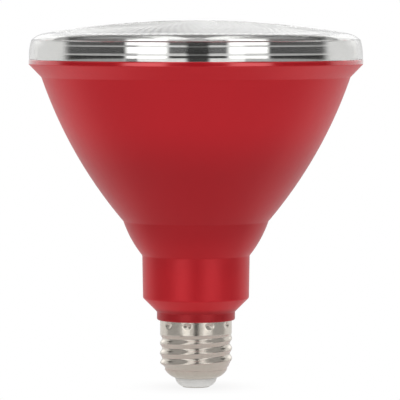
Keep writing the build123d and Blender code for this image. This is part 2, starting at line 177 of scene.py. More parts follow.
def arc(start, end, bulge, count):  # the bulge is to the right of the way from start to end
    chord = math.dist(start, end)
    bend = (chord * chord / 4 + bulge * bulge) / (2 * bulge)
    right = ((end[1] - start[1]) / chord, (start[0] - end[0]) / chord)
    middle = [(start[i] + end[i]) / 2 - right[i] * (bend - bulge) for i in (0, 1)]
    first = math.atan2(start[1] - middle[1], start[0] - middle[0])
    last = math.atan2(end[1] - middle[1], end[0] - middle[0])
    sweep = (last - first + math.pi) % (2 * math.pi) - math.pi
    angles = [first + sweep * i / count for i in range(count + 1)]
    return [(middle[0] + abs(bend) * math.cos(a), middle[1] + abs(bend) * math.sin(a)) for a in angles]


def rounded(before, corner, after, size, count=5):  # a corner's points, near an arc of that radius
    ways = []
    for other in (before, after):
        length = math.dist(corner, other)
        ways.append(((other[0] - corner[0]) / length, (other[1] - corner[1]) / length, length))
    cosine = ways[0][0] * ways[1][0] + ways[0][1] * ways[1][1]
    turn = math.pi - math.acos(max(-1.0, min(1.0, cosine)))
    back = min(size * math.tan(turn / 2), 0.46 * ways[0][2], 0.46 * ways[1][2])
    start, end = [(corner[0] + way[0] * back, corner[1] + way[1] * back) for way in ways]
    points = []
    for i in range(count + 1):
        t = i / count
        shares = ((1 - t) ** 2, 2 * t * (1 - t), t * t)
        points.append(tuple(sum(s * p[k] for s, p in zip(shares, (start, corner, end))) for k in (0, 1)))
    return points


def outline(*steps):  # a step is a corner, a corner with its rounding, or a list of corners
    corners = []
    for step in steps:
        corners += step if isinstance(step, list) else [step]
    points = []
    for i, corner in enumerate(corners):
        if len(corner) == 3:
            before, after = corners[i - 1], corners[(i + 1) % len(corners)]
            points += rounded(before[:2], corner[:2], after[:2], corner[2])
        else:
            points.append(corner)
    return braced(points)


brace = {"bend": 3.0, "side": 0.5, "reach": 0.1}  # the least bend in degrees and side, and how far in


def braced(points):  # a point more where a long side meets a bend, so that the side shades flat
    found = []
    for i, point in enumerate(points):
        others = (points[i - 1], points[(i + 1) % len(points)])
        ways = [(other[0] - point[0], other[1] - point[1]) for other in others]
        lengths = [math.hypot(*way) for way in ways]
        cosine = -(ways[0][0] * ways[1][0] + ways[0][1] * ways[1][1]) / (lengths[0] * lengths[1])
        more = []
        for way, length in zip(ways, lengths):
            share = brace["reach"] / length
            if length > brace["side"] and cosine < math.cos(math.radians(brace["bend"])):
                more.append([(point[0] + way[0] * share, point[1] + way[1] * share)])
            else:
                more.append([])
        found += [*more[0], point, *more[1]]
    return found


def offset(points, distance):  # to the left of the way
    moved = []
    for i, point in enumerate(points):
        before, after = points[max(i - 1, 0)], points[min(i + 1, len(points) - 1)]
        share = distance / math.dist(before, after)
        moved.append((point[0] - (after[1] - before[1]) * share, point[1] + (after[0] - before[0]) * share))
    return moved


def straight(start, end, count):
    return [tuple(start[k] + (end[k] - start[k]) * i / count for k in (0, 1)) for i in range(count + 1)]


axisReach = 1e-6  # a point nearer to the axis than this is on it, in millimetres


def turned(points, segments, relief=None):
    # A closed outline turned about Z. A relief takes a point's index, radius, height and angle,
    # and gives its radius and height.
    corners, rings, faces = [], [], []
    for index, (radius, height) in enumerate(points):
        if radius < axisReach:
            rings.append([len(corners)] * segments)
            corners.append((0.0, 0.0, height * millimetre))
            continue
        rings.append(list(range(len(corners), len(corners) + segments)))
        for i in range(segments):
            angle = 2 * math.pi * i / segments
            r, z = relief(index, radius, height, angle) if relief else (radius, height)
            corners.append([c * millimetre for c in (r * math.cos(angle), r * math.sin(angle), z)])
    for low, high in zip(rings, rings[1:] + rings[:1]):
        for i in range(segments):
            j = (i + 1) % segments
            face = [low[i], low[j], high[j], high[i]]
            face = [corner for k, corner in enumerate(face) if corner != face[k - 1]]
            if len(face) > 2:
                faces.append(face)
    return corners, faces


def makePiece(name, shape, material, node, sharpAngle=30):
    mesh = bpy.data.meshes.new(name)
    mesh.from_pydata(shape[0], [], shape[1])
    mesh.validate()
    mesh.shade_smooth()
    mesh.set_sharp_from_angle(angle=math.radians(sharpAngle))
    mesh.materials.append(material)
    piece = bpy.data.objects.new(name, mesh)
    bpy.context.scene.collection.objects.link(piece)
    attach(piece, "root")
    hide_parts(node)
    print(name, "made with", len(mesh.polygons), "faces")


# Camera, studio and floor


camera = {"distance": 1200.0, "right": 1.46, "height": 136.5, "down": 3.277, "lens": 299.2, "sensor": 36.0}


def aimCamera():
    data = bpy.data.cameras.new("camera")
    data.lens = camera["lens"]
    data.sensor_width = camera["sensor"]
    piece = bpy.data.objects.new("camera", data)
    place = (camera["right"], -camera["distance"], camera["height"])
    piece.location = [value * millimetre for value in place]
    piece.rotation_euler = (math.radians(90 - camera["down"]), 0, 0)
    bpy.context.scene.collection.objects.link(piece)
    bpy.context.scene.camera = piece
    print("camera aimed")


studio = {  # angles in degrees round from the camera, to the right; heights of a direction of length 1
    "boxes": [(-48.0, -22.5), (25.5, 50.0)],  # white boxes in a dark room, as the lens shows them
    "boxSoft": 5.0,
    "boxHeights": (-0.06, 0.09, 0.02),  # from, to and how soft
    "boxTop": (0.84, 0.92),  # they show again from here up, in a paler room
    "boxStrength": 1.7,
    "room": 0.04,
    "roomTop": 0.3,
    "cards": [(-41.0, -8.0), (11.0, 34.5)],  # pale cards in a grey room, as the screw base shows them
    "cardStrength": 0.95,
    "cardRoom": 0.38,
    "cardRoomFoot": 0.56,
    "footHeights": (-0.08, 0.1),  # where the grey room is as bright as at its foot, and where it no longer is
    "flags": [(-50.0, -44.0, 0.7), (-4.5, 7.5, 0.85)],  # dark strips between them, and how dark
    "soft": 2.0,
    "under": (-0.42, -0.22),  # where the cards begin
    "underStrength": 0.5,
    "back": (100.0, 112.0),
    "backStrength": 0.8,
    "backTop": (0.06, 0.2, 0.55),  # where the far back gets brighter, and by how much
    "farBack": (130.0, 145.0),
    "ceiling": (0.88, 0.92, 1.9),  # and the same overhead
    "skyHeights": (0.5, 0.86, 0.03),  # from, to and how soft: white strips on both sides of a grey middle
    "skyFoot": 0.05,
    "skyTop": 0.35,
    "skyTopFrom": (0.62, 0.68),
    "strips": (4.5, 10.5, 1.3),  # from, to and how bright
    "stripSoft": 1.0,
    "middle": (2.5, 4.0, 0.2),  # whole up to, gone from and how bright
}


def lightStudio():
    s = studio
    world = bpy.data.worlds.new("studio")
    bpy.context.scene.world = world
    g = Graph(world)
    x, y, z = g.axes(g.add("ShaderNodeTexCoord"))
    turn = g.maths("ARCTAN2", x, 0 - y) * (180 / math.pi)
    top = z.step(*s["boxTop"])
    boxes = s["room"] + top * (s["roomTop"] - s["room"])
    for low, high in s["boxes"]:
        boxes = turn.band(low, high, s["boxSoft"]) * s["boxStrength"] + boxes
    foot = 1 - z.step(*s["footHeights"])
    cards = s["cardRoom"] + foot * (s["cardRoomFoot"] - s["cardRoom"])
    for low, high in s["cards"]:
        cards = cards + turn.band(low, high, s["soft"]) * (s["cardStrength"] - cards)
    for low, high, share in s["flags"]:
        cards = cards * (1 - turn.band(low, high, s["soft"]) * share)
    cards = s["underStrength"] + (cards - s["underStrength"]) * z.step(*s["under"])
    level = g.maths("MAXIMUM", z.band(*s["boxHeights"]), top)
    front = cards + (boxes - cards) * level
    topLow, topHigh, topMore = s["backTop"]
    ceilingLow, ceilingHigh, ceilingMore = s["ceiling"]
    back = s["backStrength"] + z.step(topLow, topHigh) * abs(turn).step(*s["farBack"]) * topMore
    aside = 180 - abs(turn)
    upper = z.step(*s["skyTopFrom"])
    sky = s["skyFoot"] + upper * (s["skyTop"] - s["skyFoot"])
    stripLow, stripHigh, stripStrength = s["strips"]
    sky = sky + aside.band(stripLow, stripHigh, s["stripSoft"]) * upper * (stripStrength - sky)
    middleLow, middleHigh, middleStrength = s["middle"]
    sky = sky + (1 - aside.step(middleLow, middleHigh)) * upper * (middleStrength - sky)
    back = back + (sky - back) * z.band(*s["skyHeights"])
    back = back + z.step(ceilingLow, ceilingHigh) * ceilingMore
    light = front + (back - front) * abs(turn).step(*s["back"])
    seen = g.rays("camera")
    values = {"Color": (1, 1, 1, 1), "Strength": seen + (1 - seen) * light}
    g.finish(g.add("ShaderNodeBackground", {}, values), "ShaderNodeOutputWorld")
    print("studio lit")


floor = {
    "reach": 500.0, "sides": 96, "white": 244, "cloth": 250, "shade": 222,
    "plainFrom": -60.0, "plainTo": 30.0,  # where it is lit up to white for the camera
    "fillFrom": 20.0, "fillTo": 60.0, "fill": 0.65, "glossFill": 0.3,  # and, round the foot, for the lamp
    "glossFrom": 55.0, "glossTo": 90.0,
}


def layFloor():
    material, g = startMaterial("pale floor")
    away = g.fromAxis()
    tone = g.blend(g.noise(3.0), rgb(*[floor["white"]] * 3), rgb(*[floor["cloth"]] * 3))
    tone = g.blend(g.rays("diffuse"), tone, rgb(*[floor["shade"]] * 3))
    shader = g.surface({"Base Color": tone, "Roughness": 0.9})
    plain = g.add("ShaderNodeEmission")
    seen = g.rays("camera")
    share = floor["fill"] + g.rays("glossy") * (floor["glossFill"] - floor["fill"])
    fill = (1 - away.step(floor["fillFrom"], floor["fillTo"])) * share
    lit = seen * away.step(floor["plainFrom"], floor["plainTo"]) + (1 - seen) * fill
    shader = g.mixShaders(lit, shader, plain)
    clear = g.add("ShaderNodeBsdfTransparent")
    shader = g.mixShaders(away.step(floor["glossFrom"], floor["glossTo"]) * g.rays("glossy"), shader, clear)
    under = g.add("ShaderNodeNewGeometry", output=6)  # 1 where it is seen from below
    g.finish(g.mixShaders(under, shader, clear))
    mesh = bpy.data.meshes.new("floor")
    angles = [2 * math.pi * i / floor["sides"] for i in range(floor["sides"])]
    reach = floor["reach"] * millimetre
    mesh.from_pydata([(reach * math.cos(a), reach * math.sin(a), 0) for a in angles], [], [range(len(angles))])
    mesh.materials.append(material)
    piece = bpy.data.objects.new("floor", mesh)
    bpy.context.scene.collection.objects.link(piece)
    print("floor laid")


# Housing


housing = {
    "spigotFoot": 9.5, "spigotRadius": 11.6, "spigotBore": 10.1, "bandFoot": 24.1, "bandRadius": 12.6,
    "collarFoot": 24.4, "collarTop": 27.4, "collarRadius": 14.15, "collarRounding": 1.0,
    "neckFoot": 32.45, "neckFootRadius": 19.2, "neckTop": 47.8, "neckTopRadius": 19.45,
    "waist": 60.2, "waistRadius": 26.25, "bowlBulge": 0.62,
    "crease": 112.2, "creaseRadius": 55.7, "coneBulge": 2.8,
    "flangeFoot": 116.9, "flangeRadius": 60.28, "seam": 118.64, "flangeRounding": 0.45,
    "rimRadius": 57.8, "ledge": 115.94, "wall": 1.9, "slantedWall": 1.1, "segments": 256,
    "spigotRounding": 0.3, "collarTopRounding": 0.6, "neckFootRounding": 0.9, "neckTopRounding": 0.8,
    "waistRounding": 1.2, "creaseRounding": 0.9, "flangeFootRounding": 0.5,
    "neckStart": (0.02, 1.5),  # out from and up from the neck's foot, where its straight side begins
    "neckFloor": 0.8, "boreTopDrop": 6.4, "flangeSoft": 0.3,
    # The darker red after the two reds is painted shade, laid over the bowl and the collar.
    "red": [(220, 25, 38), (230, 31, 45)], "paintedShadeRed": (110, 10, 18), "roughness": 0.33, "metallic": 0.3,
    "shade": (60.0, 76.0, 22.0, 0.3),  # where painted shade darkens the bowl's red a little, standing in for the shade on the lower cone
    "collarShade": (27.8, 29.5, 0.4),  # and where painted shade darkens the collar's red, below here
}


def redPlastic():
    material, g = startMaterial("deep red satin plastic")
    cloud = g.noise(30.0, 3.0)
    grain = g.noise(0.4, 3.0)
    peel = g.noise(2.4, 2.0)
    # deep is the tone of painted shade, blended in over the bowl and the collar
    height, deep = g.height(), rgb(*housing["paintedShadeRed"])
    tone = g.blend(cloud * 0.7 + grain * 0.3, *tones(housing["red"]))
    low, high, soft, share = housing["shade"]
    # painted shade: the bowl between these heights is darkened towards the shade tone
    base = g.blend(height.band(low, high, soft) * share, tone, deep)
    flange = height.step(housing["flangeFoot"], housing["flangeFoot"] + housing["flangeSoft"])
    low, high, share = housing["collarShade"]
    # painted shade: the collar below these heights is darkened towards the shade tone
    base = g.blend((1 - height.step(low, high)) * share, base, deep)
    roughness = housing["roughness"] + peel * 0.08 - flange * 0.18
    values = {"Base Color": base, "Roughness": roughness, "Metallic": housing["metallic"],
              "Coat Weight": flange, "Coat Roughness": 0.12, "Normal": g.bump(grain * 0.5 + peel, 0.1, 0.06)}
    g.finish(g.surface(values))
    return material


def makeHousing():
    h = housing
    bowl = arc((h["neckTopRadius"], h["neckTop"]), (h["waistRadius"], h["waist"]), h["bowlBulge"], count=12)
    cone = arc((h["waistRadius"], h["waist"]), (h["creaseRadius"], h["crease"]), h["coneBulge"], count=40)
    inside = [(r - h["wall"] * h["slantedWall"], z) for r, z in reversed(bowl[2:] + cone[1:])]
    out, up = h["neckStart"]
    points = outline(
        (h["spigotBore"], h["spigotFoot"]),
        (h["spigotRadius"], h["spigotFoot"], h["spigotRounding"]),
        (h["spigotRadius"], h["bandFoot"]),
        (h["bandRadius"], h["bandFoot"]),
        (h["bandRadius"], h["collarFoot"]),
        (h["collarRadius"], h["collarFoot"], h["collarRounding"]),
        (h["collarRadius"], h["collarTop"], h["collarTopRounding"]),
        (h["neckFootRadius"], h["neckFoot"], h["neckFootRounding"]),
        straight((h["neckFootRadius"] + out, h["neckFoot"] + up), bowl[0], count=8)[:-1],
        (*bowl[0], h["neckTopRounding"]),
        bowl[1:-1],
        (*bowl[-1], h["waistRounding"]),
        cone[1:-1],
        (*cone[-1], h["creaseRounding"]),
        (h["flangeRadius"], h["flangeFoot"], h["flangeFootRounding"]),
        (h["flangeRadius"], h["seam"], h["flangeRounding"]),
        (h["rimRadius"], h["seam"]),
        (h["rimRadius"], h["ledge"]),
        (h["creaseRadius"] - h["wall"], h["ledge"]),
        inside,
        (h["neckFootRadius"] - h["wall"], h["neckTop"]),
        (h["neckFootRadius"] - h["wall"], h["neckFoot"] + h["neckFloor"]),
        (h["spigotBore"], h["neckFoot"] - h["boreTopDrop"]),
    )
    makePiece("housing_shell", turned(points, h["segments"]), redPlastic(), "housing")


# Lens


lens = {
    "radius": 60.15, "wall": 1.7, "shoulderWall": 0.5, "seam": 118.64, "skirtTop": 121.04, "curveBulge": 0.15,
    "shoulder": 125.6, "shoulderRadius": 59.3, "shoulderBulge": 0.45,
    "dome": 128.1, "domeRadius": 54.4, "apex": 132.7, "segments": 540,
    "faceRings": 60, "crowding": 1.3, "underRings": 10,
    "edgeRounding": 0.15, "skirtRounding": 0.6, "domeRounding": 0.8, "underInset": 1.4,
    "ribs": 108, "swirl": 0.012, "ringPitch": 3.6, "relief": 0.28,
    "faceReach": 0.3, "plainMiddle": 1, "plainEdge": 1.5, "edgeFade": 2, "middleFade": 16,  # where the relief is
    "tint": [(249, 249, 246), (253, 253, 252)], "shadow": (245, 245, 242), "refraction": 1.5,
    "frost": 0.46, "frostAbove": 0.03, "patterned": (-0.2, 0.5),  # from where to where it sets in, at the dome's edge
}


def clearPlastic():
    material, g = startMaterial("clear moulded plastic")
    haze = g.noise(9.0, 2.0)
    tint = g.blend(haze, *tones(lens["tint"]))
    values = {"Base Color": tint, "Roughness": haze * 0.03, "IOR": lens["refraction"], "Transmission Weight": 1.0}
    body = g.surface(values)
    frost = g.surface({"Base Color": tint, "Roughness": 0.3 + haze * 0.1, "Transmission Weight": 0.4})
    patterned = g.height().step(*[lens["dome"] + more for more in lens["patterned"]])
    edgeOn = g.add("ShaderNodeLayerWeight", {}, {"Blend": 0.5}, output=1)  # the fine pattern is palest there
    share = edgeOn * (lens["frost"] - lens["frostAbove"]) + lens["frostAbove"]
    body = g.mixShaders(patterned * share, body, frost)
    shaded = g.add("ShaderNodeBsdfTransparent", {}, {"Color": rgb(*lens["shadow"])})
    g.finish(g.mixShaders(g.rays("shadow"), body, shaded))
    return material


def lensFace(radius):  # the height of the domed face
    p = lens
    rise = p["apex"] - p["dome"]
    bend = (p["domeRadius"] ** 2 + rise**2) / (2 * rise)
    return p["apex"] - bend + math.sqrt(bend * bend - radius * radius)


def lensRelief(index, radius, height, angle):
    # Fine flutes swirl out from the middle of the face and cross shallow rings.
    p = lens
    if height < p["dome"] - p["faceReach"] or radius < p["plainMiddle"]:
        return radius, height
    if abs(height - lensFace(radius)) > p["faceReach"]:
        return radius, height
    flutes = math.cos(p["ribs"] * (angle + p["swirl"] * radius))
    rings = math.cos(2 * math.pi * radius / p["ringPitch"])
    fade = min(1.0, max(0.0, (p["domeRadius"] - p["plainEdge"] - radius) / p["edgeFade"]))
    fade = fade * min(1.0, radius / p["middleFade"])
    return radius, height - p["relief"] * fade * (3 - 2 * flutes - rings) / 6


def lensSkirt():
    p = lens
    return arc((p["radius"], p["skirtTop"]), (p["shoulderRadius"], p["shoulder"]), p["curveBulge"], count=8)


def lensShoulder(count=10):
    p = lens
    return arc((p["shoulderRadius"], p["shoulder"]), (p["domeRadius"], p["dome"]), p["shoulderBulge"], count)


def makeLens():
    p = lens
    rings, innerRings = p["faceRings"], p["underRings"]
    top = [p["domeRadius"] * (1 - (i / rings) ** p["crowding"]) for i in range(rings + 1)]
    top = [(radius, lensFace(radius)) for radius in top]
    under = [(p["domeRadius"] - p["underInset"]) * i / innerRings for i in range(innerRings + 1)]
    under = [(radius, lensFace(radius) - p["wall"]) for radius in under]
    bore = p["radius"] - p["wall"]
    skirt, shoulder = lensSkirt(), lensShoulder()
    points = outline(
        (p["radius"], p["seam"], p["edgeRounding"]),
        skirt[:-1],
        (*skirt[-1], p["skirtRounding"]),
        shoulder[1:-1],
        (p["domeRadius"], p["dome"], p["domeRounding"]),
        [point for point in top if point[0] < p["domeRadius"] - p["domeRounding"]],
        under,
        offset(shoulder, p["shoulderWall"])[:0:-1],
        offset(skirt, p["wall"])[:0:-1],
        (bore, p["skirtTop"]),
        (bore, p["seam"], p["edgeRounding"]),
    )
    shape = turned(points, p["segments"], lensRelief)
    makePiece("lens_cap", shape, clearPlastic(), "front_lens", sharpAngle=40)


# Reflector


mirror = {
    "ledge": 115.94, "footRadius": 57.6, "footTop": 116.74, "footRounding": 0.1,
    "radius": 57.1, "shoulder": 126.3, "rimGap": 0.15, "rimRounding": 0.2,
    "foot": 118.4, "flareTop": 120.5, "flareRadius": 57.26, "flareBulge": -0.03,
    "beads": [121.1, 123.8], "beadWidth": 0.42, "beadHeight": 0.035,
    "mouth": 124.5, "mouthRadius": 54.4, "throat": 64.6, "throatRadius": 21.0, "wall": 1.2, "web": 121.5,
    "bendFrom": 0.2, "bendTo": 0.15, "lipDrop": 0.1,  # how the rim's bend keeps clear of the mouth and the side
    "cupPoints": 60, "cupCrowding": 0.8, "backPoints": 24, "segments": 256,
    "silver": [(232, 232, 234), (243, 243, 243)], "roughness": 0.03,
}


def mirrorCoat():
    material, g = startMaterial("vacuum mirror coat")
    waves = g.noise(7.0, 1.0)
    dust = g.noise(0.6, 2.0)
    base = g.blend(dust, *tones(mirror["silver"]))
    values = {"Base Color": base, "Metallic": 1.0, "Roughness": mirror["roughness"] + dust * 0.05,
              "Normal": g.bump(waves, 0.05, 0.2)}
    g.finish(g.surface(values))
    return material


def makeReflector():
    m = mirror
    focal = (m["mouthRadius"] ** 2 - m["throatRadius"] ** 2) / (4 * (m["mouth"] - m["throat"]))

    def cup(height, shift=0.0):
        return math.sqrt(m["throatRadius"] ** 2 + 4 * focal * (height - m["throat"])) + shift, height

    count, backCount = m["cupPoints"], m["backPoints"]
    deep, back = m["mouth"] - m["throat"], m["web"] - m["throat"]
    inside = [cup(m["mouth"] - deep * (i / count) ** m["cupCrowding"]) for i in range(count + 1)]
    outside = [cup(m["throat"] + back * i / backCount, m["wall"]) for i in range(backCount + 1)]
    wall = arc((m["flareRadius"], m["foot"]), (m["radius"], m["flareTop"]), m["flareBulge"], count=10)
    half = m["beadWidth"] / 2
    for bead in m["beads"]:
        wall += arc((m["radius"], bead - half), (m["radius"], bead + half), m["beadHeight"], count=8)
    under = offset(lensShoulder(24), lens["shoulderWall"] + m["rimGap"])
    innermost, outermost = m["mouthRadius"] + m["bendFrom"], m["radius"] - m["bendTo"]
    bend = [point for point in under if innermost < point[0] < outermost]
    rim = m["radius"] - m["wall"]
    points = outline(
        (rim, m["ledge"]),
        (m["footRadius"], m["ledge"], m["footRounding"]),
        (m["footRadius"], m["footTop"], m["rimRounding"]),
        (m["flareRadius"], m["footTop"], m["rimRounding"]),
        wall,
        (m["radius"], m["shoulder"], m["rimRounding"]),
        bend,
        (m["mouthRadius"], bend[-1][1] - m["lipDrop"]),
        inside,
        outside,
        (rim, m["web"]),
    )
    makePiece("reflector_cup", turned(points, m["segments"]), mirrorCoat(), "reflector")


# Screw base


shell = {
    "mouthRadius": 7.9, "mouth": 3.5, "cupRadius": 11.3, "cupTop": 6.4, "cupBulge": 0.4,
    "threadTop": 19.9, "top": 24.4, "crestRadius": 13.1, "depth": 0.8, "pitch": 3.629, "crestHeight": 14.1,
    "runIn": 2.4, "runOut": 2.2, "bandRadius": 13.0, "sheet": 0.3, "stepDepth": 0.08, "stepHeight": 0.3,
    "stakes": 10, "firstStake": -103.4, "stakeWidth": 3.4, "stakeHeight": 2.5, "stakeDepth": 0.55,
    "stakeDrop": 1.4, "stepRun": 0.02, "liningRise": 0.6, "rows": 118, "segments": 288,
    "nickel": [(212, 204, 192), (230, 223, 213)], "roughness": 0.13,
}


def nickelPlate():
    material, g = startMaterial("bright nickel plate")
    mottle = g.noise(1.6, 3.0)
    streak = g.noise(0.5, 2.0, (1, 1, 6))
    base = g.blend(mottle, *tones(shell["nickel"]))
    roughness = shell["roughness"] + mottle * 0.08 + streak * 0.06
    values = {"Base Color": base, "Metallic": 1.0, "Roughness": roughness,
              "Normal": g.bump(streak + mottle, 0.08, 0.06)}
    g.finish(g.surface(values))
    return material


def eased(share):
    share = min(max(share, 0.0), 1.0)
    return share * share * (3 - 2 * share)


def threadRadius(height, angle):
    s = shell
    runIn = eased((height - s["cupTop"] - s["stepHeight"]) / s["runIn"])
    runOut = eased((s["threadTop"] - height) / s["runOut"])
    start = s["cupRadius"] - s["stepDepth"]
    middle = s["crestRadius"] - s["depth"] / 2
    radius = start + (middle - start) * runIn + (s["bandRadius"] - middle) * (1 - runOut)
    turn = angle - 2 * math.pi * (height - s["crestHeight"]) / s["pitch"]
    return radius + s["depth"] / 2 * min(runIn, runOut) * math.cos(turn)


def stakeDent(height, angle):
    s = shell
    sector = 2 * math.pi / s["stakes"]
    off = (angle - math.radians(s["firstStake"]) + sector / 2) % sector - sector / 2
    across = off * s["bandRadius"] / (s["stakeWidth"] / 2)
    up = (height - s["top"] + s["stakeDrop"]) / (s["stakeHeight"] / 2)
    return s["stakeDepth"] * max(0.0, 1 - math.hypot(across, up))


def makeShell():
    s = shell
    start = s["cupTop"] + s["stepHeight"]
    heights = [start + (s["top"] - start) * i / s["rows"] for i in range(s["rows"] + 1)]
    cup = arc((s["mouthRadius"], s["mouth"]), (s["cupRadius"], s["cupTop"]), s["cupBulge"], count=14)
    outer = cup + [(s["cupRadius"], start - s["stepRun"])] + [(s["cupRadius"], z) for z in heights]
    inner = [(s["cupRadius"], z) for z in heights[::-2]]
    lining = [(r - s["sheet"], z + s["sheet"] * s["liningRise"]) for r, z in reversed(cup[2:])]
    lip = [(s["mouthRadius"] - s["sheet"], s["mouth"] + s["sheet"]), (s["mouthRadius"] - s["sheet"], s["mouth"])]
    threaded = range(len(cup) + 1, len(outer) + len(inner))

    def relief(index, radius, height, angle):
        if index not in threaded:
            return radius, height
        inset = s["sheet"] if index >= len(outer) else 0.0
        return threadRadius(height, angle) - stakeDent(height, angle) - inset, height

    shape = turned(outer + inner + lining + lip, s["segments"], relief)
    makePiece("thread_shell", shape, nickelPlate(), "screw_shell", sharpAngle=40)


foot = {
    "contactRadius": 4.9, "contactHeight": 0.45, "shankRadius": 1.6, "shankTop": 5.2, "shankBore": 0.9,
    "insulatorFoot": 5.5, "throat": 7.5, "throatFoot": 3.0, "seat": 3.95, "flange": 8.7, "top": 6.35,
    "bore": 1.7, "bulge": 0.35, "flankRounding": 0.2, "flangeRise": 1.2, "flangeRounding": 0.3,
    "contactRounding": 0.35, "contactTopRounding": 0.08, "shankRounding": 0.1, "boreFloor": 0.05, "segments": 160,
    "pale": [(226, 225, 222), (238, 237, 234)], "paleRoughness": 0.42,
    "tin": [(208, 205, 200), (224, 221, 216)], "tinRoughness": 0.3,
}


def paleInsulator():
    material, g = startMaterial("pale insulator")
    cloud = g.noise(4.0, 3.0)
    grain = g.noise(0.25, 2.0)
    base = g.blend(cloud, *tones(foot["pale"]))
    values = {"Base Color": base, "Roughness": foot["paleRoughness"] + grain * 0.15,
              "Normal": g.bump(grain + cloud, 0.15, 0.06)}
    g.finish(g.surface(values))
    return material


def tinPlate():
    material, g = startMaterial("tin plate")
    dents = g.noise(1.4, 2.0)
    grain = g.noise(0.2, 3.0)
    base = g.blend(dents, *tones(foot["tin"]))
    values = {"Base Color": base, "Metallic": 1.0, "Roughness": foot["tinRoughness"] + grain * 0.2,
              "Normal": g.bump(dents + grain * 0.4, 0.3, 0.12)}
    g.finish(g.surface(values))
    return material


def makeFoot():
    f = foot
    flank = arc((f["insulatorFoot"], f["contactHeight"]), (f["throat"], f["throatFoot"]), f["bulge"], count=8)
    cone = outline(
        (f["bore"], f["contactHeight"]),
        (*flank[0], f["flankRounding"]),
        flank[1:],
        (f["throat"], f["seat"]),
        (f["flange"], f["seat"] + f["flangeRise"], f["flangeRounding"]),
        (f["flange"], f["top"], f["flangeRounding"]),
        (f["bore"], f["top"]),
    )
    makePiece("insulator_cone", turned(cone, f["segments"]), paleInsulator(), "base_insulator")
    button = outline(
        (0, 0),
        (f["contactRadius"], 0, f["contactRounding"]),
        (f["contactRadius"], f["contactHeight"], f["contactTopRounding"]),
        (f["shankRadius"], f["contactHeight"]),
        (f["shankRadius"], f["shankTop"], f["shankRounding"]),
        (f["shankBore"], f["shankTop"], f["shankRounding"]),
        (f["shankBore"], f["contactHeight"] + f["boreFloor"]),
        (0, f["contactHeight"] + f["boreFloor"]),
    )
    makePiece("contact_button", turned(button, f["segments"]), tinPlate(), "centre_contact")


# Finishes of the solids that stay as they are, inside the lamp


plainFinishes = {  # two tones, blotch size, roughness, metallic, relief depth in millimetres
    "lens_seal": ((214, 214, 208), (226, 226, 221), 3.0, 0.5, 0.0, 0.03),
    "heat_sink": ((186, 187, 190), (206, 207, 209), 1.2, 0.34, 1.0, 0.05),
    "board_connector": ((226, 223, 212), (236, 233, 224), 1.0, 0.45, 0.0, 0.03),
    "board_screws": ((176, 178, 181), (198, 199, 201), 0.8, 0.3, 1.0, 0.03),
    "film_capacitor": ((190, 142, 28), (206, 158, 40), 2.0, 0.4, 0.0, 0.05),
    "transformer_core": ((52, 52, 55), (66, 66, 69), 0.5, 0.65, 0.0, 0.06),
    "choke": ((28, 28, 30), (40, 40, 42), 0.9, 0.45, 0.0, 0.05),
    "varistor": ((30, 66, 142), (40, 80, 160), 1.6, 0.38, 0.0, 0.06),
    "bridge_rectifier": ((26, 26, 27), (36, 36, 37), 0.3, 0.55, 0.0, 0.03),
    "driver_chip": ((26, 26, 27), (36, 36, 37), 0.3, 0.55, 0.0, 0.03),
    "live_lead": ((30, 30, 31), (42, 42, 43), 1.5, 0.35, 0.0, 0.03),
    "neutral_lead": ((214, 214, 211), (228, 228, 225), 1.5, 0.35, 0.0, 0.03),
    "led_lead_negative": ((30, 30, 31), (42, 42, 43), 1.5, 0.35, 0.0, 0.03),
    "led_lead_positive": ((168, 30, 32), (186, 38, 40), 1.5, 0.35, 0.0, 0.03),
}


led = {
    "ring": 11.5, "first": 15.0, "step": 30.0, "window": 1.15, "windowSoft": 0.05, "top": 65.2, "topSoft": 0.1,
    "padDeep": 1.75, "padWide": 2.1,
    "body": [(234, 234, 230), (245, 245, 242)], "phosphor": [(232, 192, 48), (246, 216, 84)],
}
board = {
    "ring": 17.5, "step": 120.0, "padFrom": 2.3, "padTo": 3.3, "padSoft": 0.06,
    "traces": [(8.4, 8.9), (14.3, 14.8), (20.6, 21.0)], "traceSoft": 0.08,
    "mask": [(234, 235, 231), (244, 245, 242)], "traceTone": (214, 217, 210),
    "tin": [(192, 190, 184), (218, 216, 210)],
}


def fromSpot(g, ring, first, step):
    # How far out and how far round a point is from the nearest of the spots on a ring, in millimetres.
    x, y = g.axes(g.place())[:2]
    away = g.maths("SQRT", x * x + y * y) / millimetre
    turn = g.maths("ARCTAN2", y, x) * (180 / math.pi) - first
    turn = g.maths("WRAP", turn, step / 2, -step / 2) * (math.pi / 180)
    return away * g.maths("COSINE", turn) - ring, away * g.maths("SINE", turn)


def ledPackage():
    material, g = startMaterial("led package")
    out, side = fromSpot(g, led["ring"], led["first"], led["step"])
    away = g.maths("SQRT", out * out + side * side)
    soft = led["windowSoft"]
    window = 1 - away.step(led["window"] - soft, led["window"] + soft)
    window = window * g.height().step(led["top"] - led["topSoft"], led["top"])
    grain = g.noise(0.15, 3.0)
    body = g.blend(grain, *tones(led["body"]))
    phosphor = g.blend(grain, *tones(led["phosphor"]))
    values = {"Base Color": g.blend(window, body, phosphor), "Roughness": 0.3 + window * 0.35 + grain * 0.08,
              "Normal": g.bump(grain, 0.2, 0.02)}
    g.finish(g.surface(values))
    return material


